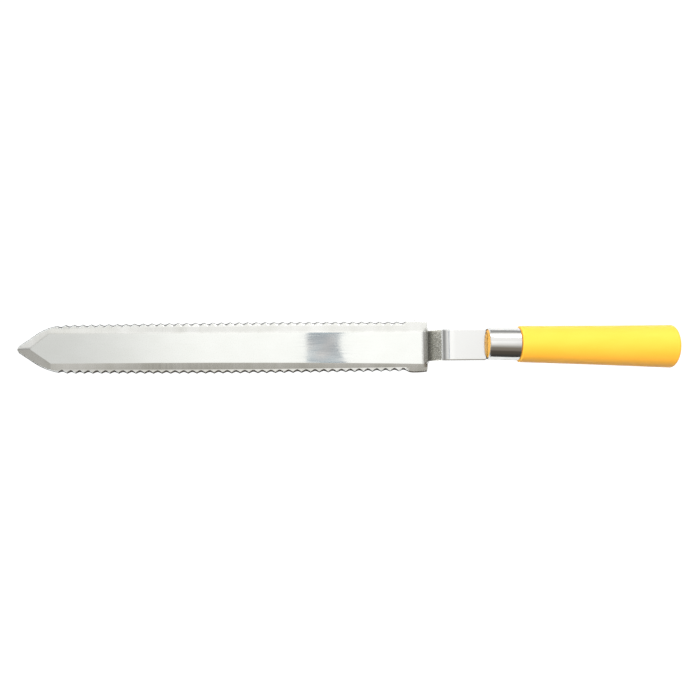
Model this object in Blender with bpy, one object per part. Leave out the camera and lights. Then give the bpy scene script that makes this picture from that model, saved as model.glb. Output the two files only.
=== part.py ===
"""Uncapping knife: a double-edged serrated blade with a cranked neck, a ferrule and a moulded handle.

The knife lies on the flat back of its blade: the point looks along -X, the handle along +X and the blade's
ground side is up (+Z). The origin is below the middle of the knife, on the plane it rests on.
"""

import math

import bmesh
import bpy

MM = 0.001

# Whole knife
OVERALL_LENGTH = 400 * MM
FIT_GAP = 0.3 * MM

# Blade sheet
SHEET = 1.5 * MM
BLADE_WIDTH = 30.6 * MM
BLADE_BELLY = 0.6 * MM
BLADE_LENGTH = 256.4 * MM
EDGE_THICKNESS = 0.15 * MM
DEBURR = 0.25 * MM

# Point
POINT_HALF_ANGLE = math.radians(33.2)
POINT_NOSE_RADIUS = 2.9 * MM
POINT_CORNER_RADIUS = 42.0 * MM
LAND_SETBACK = 8.4 * MM
LAND_POINT_ANGLE = math.radians(34.5)
LAND_APEX_OFFSET = 0.3 * MM

# Flat land, which widens on the near side towards the heel, the ground bevels and the flatter rim that the
# gullets are cut in
LAND_FAR_FRONT = 9.6 * MM
LAND_FAR_HEEL = 8.75 * MM
LAND_NEAR_FRONT = 8.8 * MM
LAND_NEAR_HEEL = 10.75 * MM
BEVEL_ANGLE = math.radians(10.6)
BEVEL_ANGLE_POINT = math.radians(8.2)
BEVEL_STEEPENS = (45 * MM, 92 * MM)
RIM_WIDTH = 2.6 * MM
RIM_ANGLE = math.radians(3.0)
RIM_START = 20.0 * MM
RIM_FADE = 9.0 * MM

# Serrations, the same number on both edges
GULLETS = 40
PITCH = 5.455 * MM
FIRST_GULLET = 28.9 * MM
GULLET_DEPTH = 1.0 * MM
GULLET_ROUNDING = 0.3
FACET_AT_TOOTH = 0.55 * MM
FACET_AT_GULLET = 1.25 * MM
FAR_EDGE_LEAD = 1.0 * MM
STEPS_PER_GULLET = 6

# Heel, where the blade narrows to the neck
LOBE_RISE = 0.85 * MM
LOBE_FALL = 0.45 * MM
HEEL_CORNER_RADIUS = 0.8 * MM
HEEL_END_SLANT = math.radians(4)
HEEL_FILLET = 3.1 * MM
NECK_HALF_WIDTH = 9.1 * MM

# Crank: a tight lower bend, a steep riser and an upper bend that eases out into the neck
BEND_START = 253.3 * MM
BEND_RADIUS = 3.2 * MM
UPPER_BEND_RADIUS = 3.0 * MM
EASE_RADIUS = 13.0 * MM
EASE_ANGLE = math.radians(22)
RISER_ANGLE = math.radians(67)
NECK_HEIGHT = 22.1 * MM
DROOP = math.radians(3.9)
NECK_REACH = 18.93 * MM

# Tang
TANG_HALF_WIDTH = 6.0 * MM
TANG_LENGTH = 58.0 * MM
TANG_NOTCHES = 6
TANG_NOTCH_DEPTH = 1.0 * MM
TANG_NOTCH_PITCH = 6.0 * MM

# Grip: ferrule and handle sit a little off centre and askew on the tang
GRIP_SKEW = math.radians(1.2)
GRIP_OFFSET = 0.6 * MM

# Ferrule
FERRULE_LENGTH = 18.3 * MM
FERRULE_MOUTH_RADIUS = 9.25 * MM
FERRULE_BASE_RADIUS = 9.55 * MM
FERRULE_WALL = 0.8 * MM
FERRULE_RIM = 0.3 * MM

# Handle
HANDLE_FRONT_RADIUS = 10.6 * MM
HANDLE_BUTT_RADIUS = 12.6 * MM
HANDLE_FLARE = 0.25
HANDLE_FRONT_ROUND = 0.7 * MM
HANDLE_BUTT_ROUND = 1.4 * MM
BUTT_DOME = 0.35 * MM

ROUND_SEGMENTS = 64


# ---------------------------------------------------------------- materials


def material(name, colour, roughness, metallic):
    made = bpy.data.materials.new(name)
    made.use_nodes = True
    shader = made.node_tree.nodes["Principled BSDF"]
    shader.inputs["Base Color"].default_value = (*colour, 1.0)
    shader.inputs["Roughness"].default_value = roughness
    shader.inputs["Metallic"].default_value = metallic
    return made


def ground_steel():
    return material("ground_steel", (0.66, 0.66, 0.65), 0.28, 1.0)


def polished_steel():
    return material("polished_steel", (0.74, 0.73, 0.71), 0.08, 1.0)


def yellow_plastic():
    return material("yellow_plastic", (0.95, 0.62, 0.05), 0.38, 0.0)


# ---------------------------------------------------------------- the neutral line of the bent sheet


def crank_straight():
    """Length of the riser between its two bends, so that the neck reaches its height."""
    lower = BEND_RADIUS * (1 - math.cos(RISER_ANGLE))
    upper = UPPER_BEND_RADIUS * (math.cos(EASE_ANGLE) - math.cos(RISER_ANGLE))
    ease = EASE_RADIUS * (math.cos(DROOP) - math.cos(EASE_ANGLE))
    rise = NECK_HEIGHT - SHEET / 2
    return (rise - lower - upper - ease) / math.sin(RISER_ANGLE)


def crank_runs():
    """The sheet's runs past the flat blade: (length, heading at its start, heading at its end)."""
    return [
        (BEND_RADIUS * RISER_ANGLE, 0.0, RISER_ANGLE),
        (crank_straight(), RISER_ANGLE, RISER_ANGLE),
        (UPPER_BEND_RADIUS * (RISER_ANGLE - EASE_ANGLE), RISER_ANGLE, EASE_ANGLE),
        (EASE_RADIUS * (EASE_ANGLE + DROOP), EASE_ANGLE, -DROOP),
    ]


def crank_length():
    return sum(run[0] for run in crank_runs())


def walk(x, z, length, start, end):
    """Moves from (x, z) along a run of the sheet whose heading turns evenly from start to end."""
    if abs(end - start) < 1e-9:
        return x + length * math.cos(start), z + length * math.sin(start)
    radius = length / (end - start)
    return x + radius * (math.sin(end) - math.sin(start)), z + radius * (math.cos(start) - math.cos(end))


def neutral(along):
    """Place and heading of the sheet's middle surface at a developed length from the point."""
    if along <= BEND_START:
        return along, SHEET / 2, 0.0
    left = along - BEND_START
    x, z = BEND_START, SHEET / 2
    for length, start, end in crank_runs():
        if left <= length:
            here = start + (end - start) * left / length
            x, z = walk(x, z, left, start, here)
            return x, z, here
        x, z = walk(x, z, length, start, end)
        left -= length
    x, z = walk(x, z, left, -DROOP, -DROOP)
    return x, z, -DROOP


def fold(along, side, height):
    """World place of a point of the flat blank: developed length, half width and height over the back."""
    x, z, heading = neutral(along)
    offset = height - SHEET / 2
    x -= offset * math.sin(heading)
    z += offset * math.cos(heading)
    return x - OVERALL_LENGTH / 2, side, z


def mouth_place():
    """Developed length of the sheet at the ferrule's mouth."""
    return BEND_START + crank_length() + NECK_REACH


# ---------------------------------------------------------------- blade


def last_tooth():
    """Developed length of the tooth behind the last gullet."""
    return FIRST_GULLET + (GULLETS - 0.5) * PITCH


def edge_half_width(along):
    """Half width of the blank: a round nose, a straight slant, an arc and the slightly bellied sides."""
    full = BLADE_WIDTH / 2
    nose = POINT_NOSE_RADIUS
    nose_end = nose * (1 - math.sin(POINT_HALF_ANGLE))
    if along < nose_end:
        return math.sqrt(nose**2 - (nose - along) ** 2)
    slant = math.tan(POINT_HALF_ANGLE)
    start = nose * math.cos(POINT_HALF_ANGLE)
    corner = nose_end + (full - start) / slant
    reach = POINT_CORNER_RADIUS * math.tan(POINT_HALF_ANGLE / 2)
    if along < corner - reach * math.cos(POINT_HALF_ANGLE):
        return start + (along - nose_end) * slant
    sides = corner + reach
    if along < sides:
        return full - POINT_CORNER_RADIUS + math.sqrt(POINT_CORNER_RADIUS**2 - (sides - along) ** 2)
    share = min(1.0, (along - sides) / (last_tooth() - sides))
    return full + BLADE_BELLY * math.sin(math.pi * share)


def land_half_width(along, sign):
    """Distance from the blade's middle to the land's border, on the ridge in front of the land."""
    slant = max(0.0, (along - LAND_SETBACK) * math.tan(LAND_POINT_ANGLE))
    apex = sign * LAND_APEX_OFFSET * min(1.0, along / LAND_SETBACK)
    share = min(1.0, along / BLADE_LENGTH)
    if sign > 0:
        side = LAND_FAR_FRONT + (LAND_FAR_HEEL - LAND_FAR_FRONT) * share
    else:
        side = LAND_NEAR_FRONT + (LAND_NEAR_HEEL - LAND_NEAR_FRONT) * share**3
    return min(slant + apex, side)


def gullet_bite(along):
    """Depth of the gullets: a V with a rounded bottom, as a dressed wheel cuts it."""
    if not FIRST_GULLET - PITCH / 2 < along < last_tooth():
        return 0.0
    from_centre = abs((along - FIRST_GULLET + PITCH / 2) % PITCH - PITCH / 2) / (PITCH / 2)
    rise = math.hypot(GULLET_ROUNDING, from_centre) - GULLET_ROUNDING
    return GULLET_DEPTH * (1 - rise / (math.hypot(GULLET_ROUNDING, 1.0) - GULLET_ROUNDING))


def rim_width(along):
    """Width of the flatter rim, which fades out towards the point and the heel."""
    fade_in = min(1.0, max(0.0, (along - RIM_START) / RIM_FADE))
    fade_out = min(1.0, max(0.0, (last_tooth() + PITCH - along) / PITCH))
    return RIM_WIDTH * fade_in * fade_out


def bevel_slope(along):
    """Slope of the ground bevels, which are flatter towards the point."""
    start, end = BEVEL_STEEPENS
    share = min(1.0, max(0.0, (along - start) / (end - start)))
    return math.tan(BEVEL_ANGLE_POINT + (BEVEL_ANGLE - BEVEL_ANGLE_POINT) * share)


def ground_height(along, side, sign):
    """Height of the ground side over the back: land or ridge, bevel and rim."""
    crown = SHEET
    if along < LAND_SETBACK:
        crown -= (edge_half_width(LAND_SETBACK) - edge_half_width(along)) * bevel_slope(along)
    border = land_half_width(along, sign)
    rim = edge_half_width(along) - rim_width(along)
    down_bevel = max(0.0, min(side, rim) - border) * bevel_slope(along)
    down_rim = max(0.0, side - rim) * math.tan(RIM_ANGLE)
    return crown - down_bevel - down_rim


def blade_rib(along, sign):
    """Back, edge, facet, rim and land points of one half section: (length, half width, height)."""
    bite = gullet_bite(along)
    edge = edge_half_width(along)
    cut = edge - bite
    facet = FACET_AT_TOOTH + (FACET_AT_GULLET - FACET_AT_TOOTH) * bite / GULLET_DEPTH
    land = land_half_width(along, sign)
    inner = cut - min(facet, (cut - land) / 3)
    rim = min(edge - rim_width(along), inner - (inner - land) / 20)
    return [
        (along, cut, 0.0),
        (along, cut, EDGE_THICKNESS),
        (along, inner, ground_height(along, inner, sign)),
        (along, rim, ground_height(along, rim, sign)),
        (along, land, ground_height(along, land, sign)),
    ]


def arc(centre, radius, start, end, steps):
    """Points of an arc in the plane of an outline or a profile, angles in degrees."""
    points = []
    for step in range(steps + 1):
        angle = math.radians(start + (end - start) * step / steps)
        points.append((centre[0] + radius * math.cos(angle), centre[1] + radius * math.sin(angle)))
    return points


def heel_outline():
    """The plain lobe, its end and the fillet into the neck: (length, half width, unsharpened share)."""
    lobe = BLADE_WIDTH / 2 + LOBE_RISE
    slant = math.degrees(HEEL_END_SLANT)
    corner = (BLADE_LENGTH - HEEL_CORNER_RADIUS, lobe - LOBE_FALL - HEEL_CORNER_RADIUS)
    steps = 5
    points = [
        (last_tooth() + 1.4 * MM, lobe - 0.35 * MM, 0.0),
        (last_tooth() + 3.0 * MM, lobe, 0.0),
        (BEND_START - 1.5 * MM, lobe - LOBE_FALL / 4, 0.0),
        (BEND_START, lobe - LOBE_FALL / 2, 0.0),
        (BEND_START + 0.8 * MM, lobe - LOBE_FALL * 0.8, 0.0),
    ]
    for step, point in enumerate(arc(corner, HEEL_CORNER_RADIUS, 80, slant, steps)):
        points.append((*point, step / steps))
    fillet_side = NECK_HALF_WIDTH + HEEL_FILLET
    drop = points[-1][1] - fillet_side
    fillet_start = points[-1][0] + drop * math.tan(HEEL_END_SLANT)
    fillet = (fillet_start + HEEL_FILLET, fillet_side)
    points += [(*point, 1.0) for point in arc(fillet, HEEL_FILLET, 180 + slant, 270, 6)]
    return points


def heel_rib(along, side, sign, blunt):
    """Half section of the heel: the bevel runs out as the outline turns in to the neck."""
    border = min(land_half_width(along, sign), side - DEBURR)
    facet = FACET_AT_TOOTH + (DEBURR / 2 - FACET_AT_TOOTH) * blunt
    inner = side - min(facet, (side - border) / 2)
    rim = (inner + border) / 2
    lip = ground_height(along, side, sign) - DEBURR
    return [
        (along, side, 0.0),
        (along, side, EDGE_THICKNESS + (lip - EDGE_THICKNESS) * blunt),
        (along, inner, ground_height(along, inner, sign)),
        (along, rim, ground_height(along, rim, sign)),
        (along, border, ground_height(along, border, sign)),
    ]


def plain_rib(along, side):
    """Half section of the neck and tang, with a broken upper edge."""
    return [
        (along, side, 0.0),
        (along, side, SHEET - DEBURR),
        (along, side - DEBURR / 3, SHEET - DEBURR / 3),
        (along, side - DEBURR, SHEET),
        (along, side - 2 * DEBURR, SHEET),
    ]


def crank_stations():
    """Developed lengths where the bends need a section."""
    stations = []
    place = BEND_START
    for length, start, end in crank_runs():
        steps = max(1, round(abs(end - start) / math.radians(9)))
        stations += [place + length * (step + 1) / steps for step in range(steps)]
        place += length
    return stations


def tang_outline():
    """Rounded shoulders at the ferrule's mouth and the notched tang behind them."""
    shoulder = mouth_place() - FIT_GAP
    outer = arc((shoulder - 1.4 * MM, NECK_HALF_WIDTH - 1.0 * MM), 1.0 * MM, 80, 10, 4)
    root = shoulder + 0.2 * MM
    points = [(shoulder - 1.6 * MM, NECK_HALF_WIDTH), *outer]
    points += [(root, TANG_HALF_WIDTH + 0.3 * MM), (root + 0.4 * MM, TANG_HALF_WIDTH)]
    notch = root + 20 * MM
    for _ in range(TANG_NOTCHES):
        points.append((notch, TANG_HALF_WIDTH))
        points.append((notch + 1.0 * MM, TANG_HALF_WIDTH - TANG_NOTCH_DEPTH))
        points.append((notch + 2.0 * MM, TANG_HALF_WIDTH))
        notch += TANG_NOTCH_PITCH
    end = mouth_place() + TANG_LENGTH
    points += [(end - 2.5 * MM, TANG_HALF_WIDTH), (end, TANG_HALF_WIDTH - 2.0 * MM)]
    return points


def evenly(start, end, steps):
    """Places after start, up to and with end."""
    return [start + (end - start) * (step + 1) / steps for step in range(steps)]


def blade_stations():
    """Developed lengths of the sections from the point to the last tooth."""
    first_tooth = FIRST_GULLET - PITCH / 2
    land_corner = LAND_SETBACK + LAND_FAR_FRONT / math.tan(LAND_POINT_ANGLE)
    stations = [0.02 * POINT_NOSE_RADIUS, *evenly(0.02 * POINT_NOSE_RADIUS, POINT_NOSE_RADIUS / 2, 4)]
    stations += [*evenly(POINT_NOSE_RADIUS / 2, LAND_SETBACK, 4), *evenly(LAND_SETBACK, land_corner, 8)]
    stations += evenly(land_corner, first_tooth, 4)
    return stations + evenly(first_tooth, last_tooth(), GULLETS * STEPS_PER_GULLET)


def edge_lead(along, sign):
    """The far edge's teeth lead by a fixed step, which fades out towards the point and the heel."""
    if sign < 0:
        return 0.0
    fade_in = min(1.0, max(0.0, (along - LAND_SETBACK) / (12 * MM)))
    fade_out = min(1.0, max(0.0, (BLADE_LENGTH - 4 * MM - along) / (8 * MM)))
    return -FAR_EDGE_LEAD * fade_in * fade_out


def half_sections(sign):
    """All half sections of one side of the blank, from the point to the end of the tang."""
    ribs = [blade_rib(along, sign) for along in blade_stations()]
    heel = heel_outline()
    ribs += [heel_rib(along, side, sign, blunt) for along, side, blunt in heel]
    tang = tang_outline()
    for along in crank_stations():
        if heel[-1][0] + 0.2 * MM < along < tang[0][0]:
            ribs.append(plain_rib(along, NECK_HALF_WIDTH))
    return ribs + [plain_rib(along, side) for along, side in tang]


def skin(mesh):
    """Lofts the half sections of both sides into one closed skin."""
    rings = []
    for near, far in zip(half_sections(-1), half_sections(1)):
        near_side = [mesh.verts.new(fold(along, -side, height)) for along, side, height in near]
        far_side = [
            mesh.verts.new(fold(along + edge_lead(along, 1), side, height)) for along, side, height in far
        ]
        rings.append(near_side + far_side[::-1])
    for front, back in zip(rings, rings[1:]):
        for index in range(len(front)):
            after = (index + 1) % len(front)
            mesh.faces.new((front[index], back[index], back[after], front[after]))
    mesh.faces.new(rings[0])
    mesh.faces.new(rings[-1][::-1])


def make_blade():
    mesh = bmesh.new()
    skin(mesh)
    bmesh.ops.remove_doubles(mesh, verts=mesh.verts, dist=1e-6)
    bmesh.ops.dissolve_degenerate(mesh, edges=mesh.edges, dist=1e-7)
    return finish("blade", mesh, ground_steel(), 30)


# ---------------------------------------------------------------- turned pieces


def turned(profile, segments):
    """Spins a closed or axis-to-axis profile of (axial, radius) points about the local X axis."""
    mesh = bmesh.new()
    rings = []
    for axial, radius in profile:
        if radius < 1e-9:
            rings.append([mesh.verts.new((axial, 0.0, 0.0))])
            continue
        ring = []
        for step in range(segments):
            angle = 2 * math.pi * step / segments
            ring.append(mesh.verts.new((axial, radius * math.cos(angle), radius * math.sin(angle))))
        rings.append(ring)
    return mesh, rings


def join_rings(mesh, rings):
    """Bridges each ring to the next; a single point closes an end."""
    for near, far in zip(rings, rings[1:]):
        count = max(len(near), len(far))
        for index in range(count):
            after = (index + 1) % count
            if len(near) == 1:
                mesh.faces.new((near[0], far[after], far[index]))
            elif len(far) == 1:
                mesh.faces.new((near[index], near[after], far[0]))
            else:
                mesh.faces.new((near[index], near[after], far[after], far[index]))


def finish(name, mesh, look, sharp_degrees):
    """Turns a bmesh into a named object with outward faces and shading split at sharp edges."""
    bmesh.ops.recalc_face_normals(mesh, faces=mesh.faces)
    data = bpy.data.meshes.new(name)
    mesh.to_mesh(data)
    mesh.free()
    data.materials.append(look)
    data.shade_smooth()
    data.set_sharp_from_angle(angle=math.radians(sharp_degrees))
    made = bpy.data.objects.new(name, data)
    bpy.context.scene.collection.objects.link(made)
    return made


def axis_empty(name, skew, offset):
    """An empty at the ferrule's mouth whose X axis droops like the tang and turns to the near side."""
    x, z, _ = neutral(mouth_place())
    axis = bpy.data.objects.new(name, None)
    axis.location = (x - OVERALL_LENGTH / 2, offset, z)
    axis.rotation_euler = (0.0, DROOP, -skew)
    bpy.context.scene.collection.objects.link(axis)
    return axis


# ---------------------------------------------------------------- ferrule


def ferrule_radius(axial):
    share = axial / FERRULE_LENGTH
    return FERRULE_MOUTH_RADIUS + (FERRULE_BASE_RADIUS - FERRULE_MOUTH_RADIUS) * share


def ferrule_profile():
    """A tapered tube with softened rims, outside first and back along the bore."""
    start = FERRULE_RIM
    end = FERRULE_LENGTH - FERRULE_RIM
    outer = [(0.0, ferrule_radius(0.0) - FERRULE_RIM), (start, ferrule_radius(start))]
    outer += [(end, ferrule_radius(end)), (FERRULE_LENGTH, ferrule_radius(end) - FERRULE_RIM)]
    inner = [
        (FERRULE_LENGTH, ferrule_radius(FERRULE_LENGTH) - FERRULE_WALL),
        (0.0, ferrule_radius(0.0) - FERRULE_WALL),
    ]
    return outer + inner


def make_ferrule(axis):
    mesh, rings = turned(ferrule_profile(), ROUND_SEGMENTS)
    join_rings(mesh, [*rings, rings[0]])
    made = finish("ferrule", mesh, polished_steel(), 30)
    made.parent = axis
    return made


# ---------------------------------------------------------------- handle


def handle_front():
    return FERRULE_LENGTH + FIT_GAP


def handle_length():
    """From the shoulder to the butt, so that the upper edge of the butt ends the knife's length."""
    x, _, _ = neutral(mouth_place())
    run = math.cos(DROOP) * math.cos(GRIP_SKEW)
    rim = (HANDLE_BUTT_RADIUS - HANDLE_BUTT_ROUND) * math.sqrt(1 - run**2) + HANDLE_BUTT_ROUND
    return (OVERALL_LENGTH - rim - x) / run + HANDLE_BUTT_ROUND - handle_front()


def handle_radius(share):
    """The grip swells towards the butt, a little faster at the end."""
    swell = (1 - HANDLE_FLARE) * share + HANDLE_FLARE * share * share
    return HANDLE_FRONT_RADIUS + (HANDLE_BUTT_RADIUS - HANDLE_FRONT_RADIUS) * swell


def handle_profile():
    """Spigot, shoulder, tapered grip, rounded butt and shallow dome, from mouth to butt."""
    spigot = FERRULE_MOUTH_RADIUS - FERRULE_WALL - FIT_GAP
    root = ferrule_radius(FERRULE_LENGTH) - FERRULE_WALL - FIT_GAP
    front = handle_front()
    back = front + handle_length()
    soft = HANDLE_FRONT_ROUND
    profile = [(0.0, 0.0), (0.0, spigot), (front, root)]
    profile += arc((front + soft, HANDLE_FRONT_RADIUS - soft), soft, 180, 90, 3)
    rings = 8
    for ring in range(1, rings):
        share = ring / rings
        profile.append((front + handle_length() * share, handle_radius(share)))
    blunt = HANDLE_BUTT_ROUND
    profile += arc((back - blunt, HANDLE_BUTT_RADIUS - blunt), blunt, 90, 10, 5)
    inner = HANDLE_BUTT_RADIUS - blunt
    for share in (0.66, 0.33):
        profile.append((back + BUTT_DOME * (1 - share * share), inner * share))
    profile.append((back + BUTT_DOME, 0.0))
    return profile


def tang_slot(axis):
    """Cutter for the blind slot that takes the tang, a gap all round it."""
    length = TANG_LENGTH + 2 * FIT_GAP
    reach = 1.0 * MM
    mesh = bmesh.new()
    bmesh.ops.create_cube(mesh, size=1.0)
    size = (length + reach, 2 * (TANG_HALF_WIDTH + 2 * FIT_GAP), SHEET + 2 * FIT_GAP)
    bmesh.ops.scale(mesh, vec=size, verts=mesh.verts)
    bmesh.ops.translate(mesh, vec=((length - reach) / 2, 0.0, 0.0), verts=mesh.verts)
    data = bpy.data.meshes.new("tang_slot")
    mesh.to_mesh(data)
    mesh.free()
    cutter = bpy.data.objects.new("tang_slot", data)
    cutter.display_type = "WIRE"
    cutter.hide_render = True
    cutter.parent = axis
    bpy.context.scene.collection.objects.link(cutter)
    return cutter


def make_handle(axis, tang_axis):
    mesh, rings = turned(handle_profile(), ROUND_SEGMENTS)
    join_rings(mesh, rings)
    made = finish("handle", mesh, yellow_plastic(), 30)
    made.parent = axis
    slot = made.modifiers.new("tang_slot", "BOOLEAN")
    slot.operation = "DIFFERENCE"
    slot.object = tang_slot(tang_axis)
    return made


# ---------------------------------------------------------------- assembly


def main():
    for old in list(bpy.data.objects):
        bpy.data.objects.remove(old, do_unlink=True)
    make_blade()
    grip = axis_empty("grip_axis", GRIP_SKEW, GRIP_OFFSET)
    make_ferrule(grip)
    make_handle(grip, axis_empty("tang_axis", 0.0, 0.0))


main()
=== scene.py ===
"""Looks of the uncapping knife: ground blade, mirror ferrule and moulded handle in a plain white studio.

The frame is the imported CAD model. The point looks along -X, the handle along +X, and the blade lies on z = 0.
Dimensions are those of the design, in metres, restated here because this script reads only the frame.
"""

import math

import bmesh
import bpy
from mathutils import Euler, Matrix, Vector


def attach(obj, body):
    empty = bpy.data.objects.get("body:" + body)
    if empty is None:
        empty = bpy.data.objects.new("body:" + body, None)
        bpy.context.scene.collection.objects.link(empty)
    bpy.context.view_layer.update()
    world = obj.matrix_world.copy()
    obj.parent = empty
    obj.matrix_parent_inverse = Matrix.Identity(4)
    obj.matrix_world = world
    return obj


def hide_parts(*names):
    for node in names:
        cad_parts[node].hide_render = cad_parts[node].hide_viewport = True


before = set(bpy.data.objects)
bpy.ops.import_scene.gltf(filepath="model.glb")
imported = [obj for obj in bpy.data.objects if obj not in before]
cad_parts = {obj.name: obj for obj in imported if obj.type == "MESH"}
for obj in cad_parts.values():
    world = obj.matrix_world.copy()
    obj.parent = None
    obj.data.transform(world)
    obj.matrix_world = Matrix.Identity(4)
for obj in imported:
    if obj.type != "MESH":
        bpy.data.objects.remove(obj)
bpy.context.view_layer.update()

MM = 0.001

# Whole knife
OVERALL_LENGTH = 400 * MM
FIT_GAP = 0.3 * MM

# Blade sheet
SHEET = 1.5 * MM
BLADE_WIDTH = 30.6 * MM
BLADE_BELLY = 0.6 * MM
BLADE_LENGTH = 256.4 * MM
EDGE_THICKNESS = 0.15 * MM
BROKEN_EDGE = 0.25 * MM

# Point
POINT_HALF_ANGLE = math.radians(33.2)
POINT_NOSE_RADIUS = 2.9 * MM
POINT_CORNER_RADIUS = 42.0 * MM
LAND_SETBACK = 8.4 * MM
LAND_POINT_ANGLE = math.radians(34.5)
LAND_APEX_OFFSET = 0.3 * MM

# Flat land, the ground bevels and the flatter rim that the gullets are cut in
LAND_FAR_FRONT = 9.6 * MM
LAND_FAR_HEEL = 8.75 * MM
LAND_NEAR_FRONT = 8.8 * MM
LAND_NEAR_HEEL = 10.75 * MM
BEVEL_ANGLE = math.radians(10.6)
BEVEL_ANGLE_POINT = math.radians(8.2)
BEVEL_STEEPENS = (45 * MM, 92 * MM)
RIM_WIDTH = 2.6 * MM
RIM_ANGLE = math.radians(3.0)
RIM_START = 20.0 * MM
RIM_FADE_IN = 9.0 * MM
RIM_FADE_OUT = 2.5 * MM
RIM_PAST_TEETH = 1.5 * MM
NEAR_BLEND = 0.3 * MM
FAR_BLEND = 1.4 * MM

# Serrations
GULLETS = 40
PITCH = 5.455 * MM
FIRST_GULLET = 28.9 * MM
GULLET_DEPTH = 1.0 * MM
GULLET_ROUNDING = 0.3
FACET_AT_TOOTH = 0.8 * MM
FACET_AT_GULLET = 1.25 * MM
FACET_HOLLOW = 0.05 * MM
FACET_SHARES = (0.4, 0.7)
FAR_EDGE_LEAD = 1.0 * MM
LEAD_FADE_IN = 12 * MM
LEAD_FADE_OUT = 8 * MM
LEAD_END = 4 * MM
STEPS_PER_GULLET = 14

# Heel: LOBE_SWELL holds lengths past the last tooth and how far the outline still is inside the full lobe
LOBE_RISE = 0.85 * MM
LOBE_FALL = 0.45 * MM
LOBE_FALL_START = 3.0 * MM
LOBE_SWELL = ((0.7 * MM, 0.42 * MM), (1.4 * MM, 0.22 * MM), (2.2 * MM, 0.07 * MM), (3.2 * MM, 0.0))
HEEL_CORNER_RADIUS = 0.8 * MM
HEEL_CORNER_START = 80  # degrees from the blade's length
HEEL_END_SLANT = math.radians(4)
HEEL_FILLET = 3.1 * MM

# Crank, neck and tang
NECK_HALF_WIDTH = 9.1 * MM
SPINE_INSET = 0.12
NECK_NEAR_ROUND = 0.9 * MM
NECK_FAR_ROUND = 0.3 * MM
NECK_ROUND_DROP = 0.3 * MM
BEND_START = 253.3 * MM
BEND_RADIUS = 3.2 * MM
UPPER_BEND_RADIUS = 3.0 * MM
EASE_RADIUS = 13.0 * MM
EASE_ANGLE = math.radians(22)
RISER_ANGLE = math.radians(67)
NECK_HEIGHT = 22.1 * MM
DROOP = math.radians(3.9)
NECK_REACH = 18.93 * MM
CREASE = 0.2 * MM
SHOULDER_ROUND = 1.0 * MM
TANG_HALF_WIDTH = 6.0 * MM
TANG_LENGTH = 58.0 * MM
TANG_TAPER = (2.5 * MM, 2.0 * MM)

# The crank's look, pressed steel whose colour bands are painted reflections and painted highlights, starts
# before the bend, ends past the riser and wanders a little
BEND_LOOK_LEAD = 0.4 * MM
RISER_OVERLAP = 0.9 * MM
BEND_MOTTLE = 0.8 * MM

# Grip: ferrule and handle sit a little off centre and askew on the tang
GRIP_SKEW = math.radians(1.2)
GRIP_OFFSET = 0.6 * MM

# Ferrule
FERRULE_LENGTH = 18.3 * MM
FERRULE_MOUTH_RADIUS = 9.25 * MM
FERRULE_BASE_RADIUS = 9.55 * MM
FERRULE_WALL = 0.8 * MM
FERRULE_RIM = 0.35 * MM
BORE_CHAMFER = 0.1 * MM

# Handle
HANDLE_FRONT_RADIUS = 10.6 * MM
HANDLE_BUTT_RADIUS = 12.6 * MM
HANDLE_FLARE = 0.25
HANDLE_FRONT_ROUND = 0.7 * MM
HANDLE_BUTT_ROUND = 1.4 * MM
BUTT_DOME = 0.35 * MM
SPIGOT_RECESS = 0.15 * MM
SPIGOT_ROUND = 0.3 * MM

ROUND_SEGMENTS = 192

# Camera, above the blade and leaning a little from the near side
CAMERA_DISTANCE = 421.15 * MM
CAMERA_LENS = 35.12
CAMERA_AIM = (8.9 * MM, -1.94 * MM, SHEET)
CAMERA_TURN = (math.radians(1.63), math.radians(1.75), math.radians(-0.43))

# Card beside the lens, seen from above, and the flags beside the grip
CARD_HEIGHT = 420 * MM
CARD_LEFT = -57.0 * MM
CARD_RIGHT = -11.0 * MM
CARD_WAVE = 4.0 * MM
CARD_LOW = -24.0 * MM
CARD_SPAN = 72.0 * MM
FLAG_START = 95 * MM
FLAG_END = 215 * MM


# ---------------------------------------------------------------- the neutral line of the bent sheet


def crank_straight():
    """Length of the riser between its two bends."""
    lower = BEND_RADIUS * (1 - math.cos(RISER_ANGLE))
    upper = UPPER_BEND_RADIUS * (math.cos(EASE_ANGLE) - math.cos(RISER_ANGLE))
    ease = EASE_RADIUS * (math.cos(DROOP) - math.cos(EASE_ANGLE))
    rise = NECK_HEIGHT - SHEET / 2
    return (rise - lower - upper - ease) / math.sin(RISER_ANGLE)


def crank_runs():
    """The sheet's runs past the flat blade: (length, heading at its start, heading at its end)."""
    return [
        (BEND_RADIUS * RISER_ANGLE, 0.0, RISER_ANGLE),
        (crank_straight(), RISER_ANGLE, RISER_ANGLE),
        (UPPER_BEND_RADIUS * (RISER_ANGLE - EASE_ANGLE), RISER_ANGLE, EASE_ANGLE),
        (EASE_RADIUS * (EASE_ANGLE + DROOP), EASE_ANGLE, -DROOP),
    ]


def crank_length():
    return sum(run[0] for run in crank_runs())


def walk(x, z, length, start, end):
    """Moves from (x, z) along a run of the sheet whose heading turns evenly from start to end."""
    if abs(end - start) < 1e-9:
        return x + length * math.cos(start), z + length * math.sin(start)
    radius = length / (end - start)
    return x + radius * (math.sin(end) - math.sin(start)), z + radius * (math.cos(start) - math.cos(end))


def neutral(along):
    """Place and heading of the sheet's middle surface at a developed length from the point."""
    if along <= BEND_START:
        return along, SHEET / 2, 0.0
    left = along - BEND_START
    x, z = BEND_START, SHEET / 2
    for length, start, end in crank_runs():
        if left <= length:
            here = start + (end - start) * left / length
            x, z = walk(x, z, left, start, here)
            return x, z, here
        x, z = walk(x, z, length, start, end)
        left -= length
    x, z = walk(x, z, left, -DROOP, -DROOP)
    return x, z, -DROOP


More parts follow.
